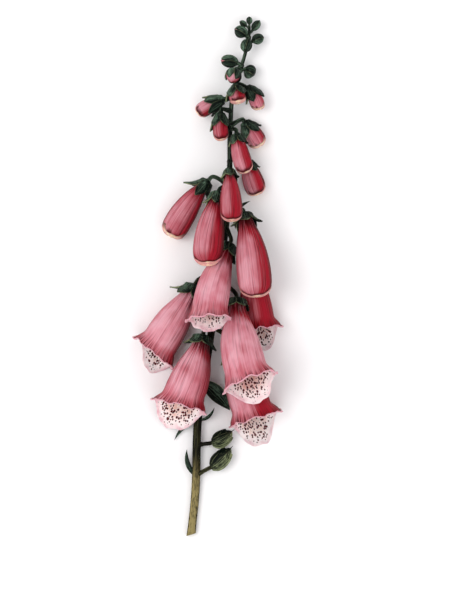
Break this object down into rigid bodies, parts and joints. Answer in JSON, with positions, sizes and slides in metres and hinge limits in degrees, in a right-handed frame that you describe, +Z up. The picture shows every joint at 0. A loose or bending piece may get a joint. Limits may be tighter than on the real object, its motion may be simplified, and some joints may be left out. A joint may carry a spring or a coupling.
{
  "type": "foxglove flower spike",
  "caption": "Cut foxglove flower spike lying down, with hanging open bells, closed blooms, buds toward the tip and green seed pods low on a bare stem.",
  "frame": {"origin": "centre of the bounding box's footprint, on the surface that the spike lies on", "axes": "+Y along the spike from the cut end to the tip, +X across it, +Z up from the surface that it lies on"},
  "size_m": [0.0673, 0.2402, 0.0426],
  "materials": {
    "stem_green": "satin",
    "calyx_green": "satin",
    "bud_green": "satin",
    "pod_green": "satin",
    "open_rose": "satin",
    "closed_rose": "satin",
    "pollen_yellow": "matte",
    "style_green": "satin"
  },
  "bodies": {
    "root": {"closed_bloom_1_calyx": "calyx_green", "closed_bloom_1_corolla": "closed_rose", "closed_bloom_2_calyx": "calyx_green", "closed_bloom_2_corolla": "closed_rose", "closed_bloom_3_calyx": "calyx_green", "closed_bloom_3_corolla": "closed_rose", "closed_bloom_4_calyx": "calyx_green", "closed_bloom_4_corolla": "closed_rose", "open_bloom_1_calyx": "calyx_green", "open_bloom_1_corolla": "open_rose", "open_bloom_1_pistil": "style_green", "open_bloom_1_stamens": "pollen_yellow", "open_bloom_2_calyx": "calyx_green", "open_bloom_2_corolla": "open_rose", "open_bloom_2_pistil": "style_green", "open_bloom_2_stamens": "pollen_yellow", "open_bloom_3_calyx": "calyx_green", "open_bloom_3_corolla": "open_rose", "open_bloom_3_pistil": "style_green", "open_bloom_3_stamens": "pollen_yellow", "open_bloom_4_calyx": "calyx_green", "open_bloom_4_corolla": "open_rose", "open_bloom_4_pistil": "style_green", "open_bloom_4_stamens": "pollen_yellow", "open_bloom_5_calyx": "calyx_green", "open_bloom_5_corolla": "open_rose", "open_bloom_5_pistil": "style_green", "open_bloom_5_stamens": "pollen_yellow", "open_bloom_6_calyx": "calyx_green", "open_bloom_6_corolla": "open_rose", "open_bloom_6_pistil": "style_green", "open_bloom_6_stamens": "pollen_yellow", "seed_pod_1": "pod_green", "seed_pod_2": "pod_green", "stem": "stem_green", "tip_bud_1": "bud_green", "tip_bud_2": "bud_green", "tip_bud_3": "bud_green", "tip_bud_4": "bud_green", "tip_bud_5": "bud_green", "tip_bud_6": "bud_green", "tip_bud_7": "bud_green", "tip_bud_8": "bud_green", "tip_bud_9": "bud_green", "young_bud_1_calyx": "calyx_green", "young_bud_1_corolla": "closed_rose", "young_bud_2_calyx": "calyx_green", "young_bud_2_corolla": "closed_rose", "young_bud_3_calyx": "calyx_green", "young_bud_3_corolla": "closed_rose", "young_bud_4_calyx": "calyx_green", "young_bud_4_corolla": "closed_rose", "young_bud_5_calyx": "calyx_green", "young_bud_5_corolla": "closed_rose", "young_bud_6_calyx": "calyx_green", "young_bud_6_corolla": "closed_rose", "young_bud_7_calyx": "calyx_green", "young_bud_7_corolla": "closed_rose"}
  },
  "joints": []
}
